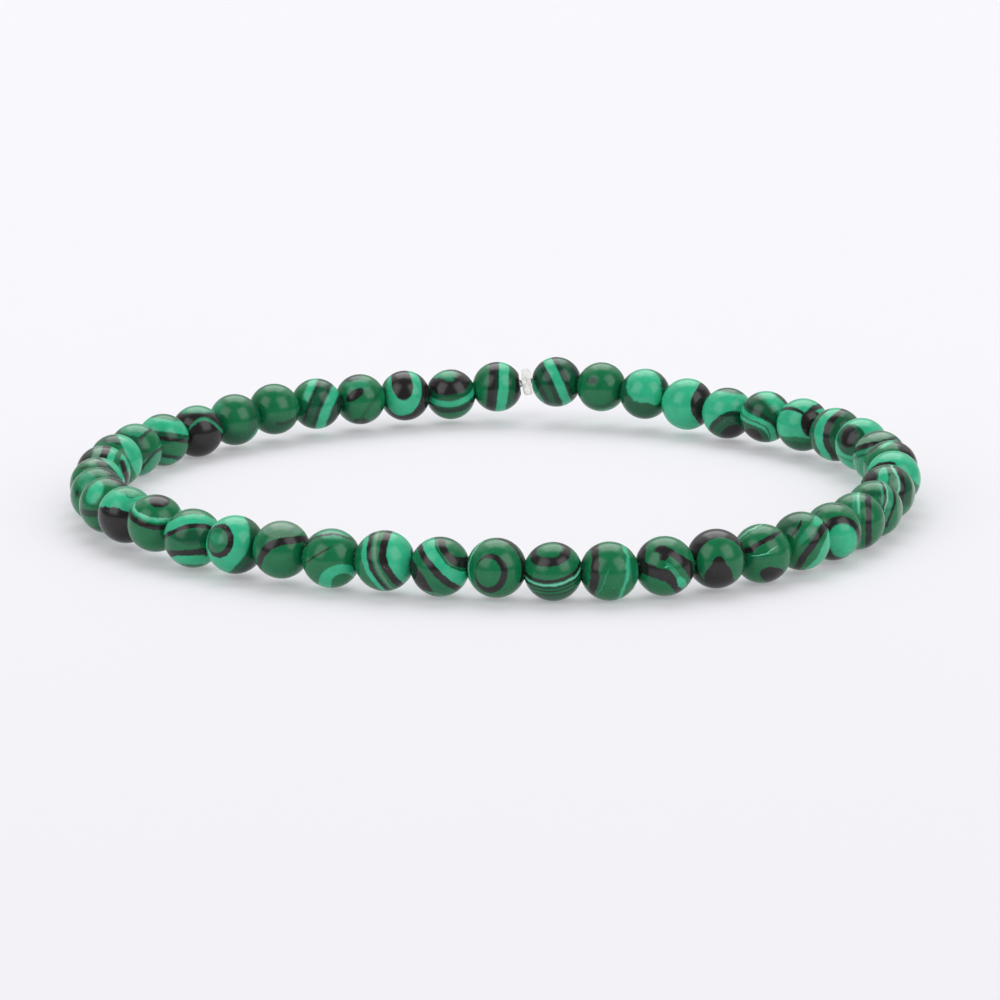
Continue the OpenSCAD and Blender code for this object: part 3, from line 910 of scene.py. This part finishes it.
# ---------------------------------------------------------- floor and lights
def floor():
    mesh = bpy.data.meshes.new("floor")
    wide = 6.0
    mesh.from_pydata([(-wide, -wide, 0), (wide, -wide, 0), (wide, wide, 0), (-wide, wide, 0)], [], [(0, 1, 2, 3)])
    obj = bpy.data.objects.new("floor", mesh)
    bpy.context.scene.collection.objects.link(obj)
    mat = bpy.data.materials.new("floor_white")
    mat.use_nodes = True
    w = Wires(mat.node_tree)
    shader = mat.node_tree.nodes["Principled BSDF"]
    coord = w.add("ShaderNodeTexCoord").outputs["Object"]
    paper = w.noise(coord, 60.0, 3.0).outputs["Fac"]
    apart = w.add("ShaderNodeSeparateXYZ")
    w.put(coord, apart.inputs[0])
    # Painted shade: the floor is painted darker toward the front and lighter toward the back.
    painted_front_shade = w.blend(w.ease(apart.outputs["Y"], -0.12, 0.08), (0.518, 0.513, 0.538, 1), (0.560, 0.553, 0.582, 1))
    w.put(w.blend(w.line(paper, 0.3, 0.7, 0.0, 0.03), painted_front_shade, (0.50, 0.50, 0.52, 1)), shader.inputs["Base Color"])
    shader.inputs["Emission Color"].default_value = (0.97, 0.96, 1.0, 1)
    shader.inputs["Emission Strength"].default_value = 0.30
    shader.inputs["Roughness"].default_value = 0.7
    shader.inputs["Specular IOR Level"].default_value = 0.2
    mesh.materials.append(mat)


def tent():
    """Soft light all round, by direction: dim in front, a bright panel overhead
    that runs to the back, and a window on each side of the front."""
    world = bpy.data.worlds.new("tent")
    world.use_nodes = True
    w = Wires(world.node_tree)
    ground = world.node_tree.nodes["Background"]
    way = w.add("ShaderNodeTexCoord").outputs["Generated"]

    def panel(middle, wide, high, blur):
        """1 inside a panel square to the direction middle, falling off over blur."""
        m = Vector(middle).normalized()
        side = Vector((0, 0, 1)).cross(m).normalized() if abs(m.z) < 0.99 else Vector((1, 0, 0))
        up = m.cross(side)
        depth = w.maths("MAXIMUM", w.vector("DOT_PRODUCT", way, tuple(m)), 0.02)
        share = w.ease(depth, 0.02, 0.10)
        for axis, size in ((side, wide), (up, high)):
            off = w.maths("ABSOLUTE", w.maths("DIVIDE", w.vector("DOT_PRODUCT", way, tuple(axis)), depth))
            share = w.maths("MULTIPLY", share, w.ease(off, size - blur, size + blur, 1.0, 0.0))
        return share

    apart = w.add("ShaderNodeSeparateXYZ")
    w.put(way, apart.inputs[0])
    back = w.ease(apart.outputs["Y"], -0.1, 0.9, AMBIENT, BACKDROP)
    light = w.maths("ADD", back, w.maths("MULTIPLY", panel(PANEL, PANEL_W, PANEL_H, 0.13), PANEL_L))
    light = w.maths("ADD", light, w.maths("MULTIPLY", panel(PANEL, WING_W, PANEL_H + 0.1, 0.25), WING_L))
    for side in (-1, 1):
        t, e = math.radians(WINDOW_TURN), math.radians(WINDOW_RISE)
        middle = (side * math.sin(t) * math.cos(e), -math.cos(t) * math.cos(e), math.sin(e))
        light = w.maths("ADD", light, w.maths(
            "MULTIPLY", panel(middle, WINDOW_W, WINDOW_H, 0.17), WINDOW_L * (1.06 if side > 0 else 0.94)))
    w.put(light, ground.inputs["Strength"])
    ground.inputs["Color"].default_value = (1.0, 1.0, 1.0, 1)
    bpy.context.scene.world = world


AMBIENT, BACKDROP = 0.20, 0.50
PANEL, PANEL_W, PANEL_H, PANEL_L = (0.0, 0.56, 0.83), 0.42, 0.40, 2.2
WING_W, WING_L = 0.95, 0.60
WINDOW_TURN, WINDOW_RISE, WINDOW_W, WINDOW_H, WINDOW_L = 53, 36, 0.36, 0.44, 1.9
floor()
tent()
bpy.context.scene.view_settings.view_transform = "Standard"
bpy.context.scene.view_settings.look = "None"
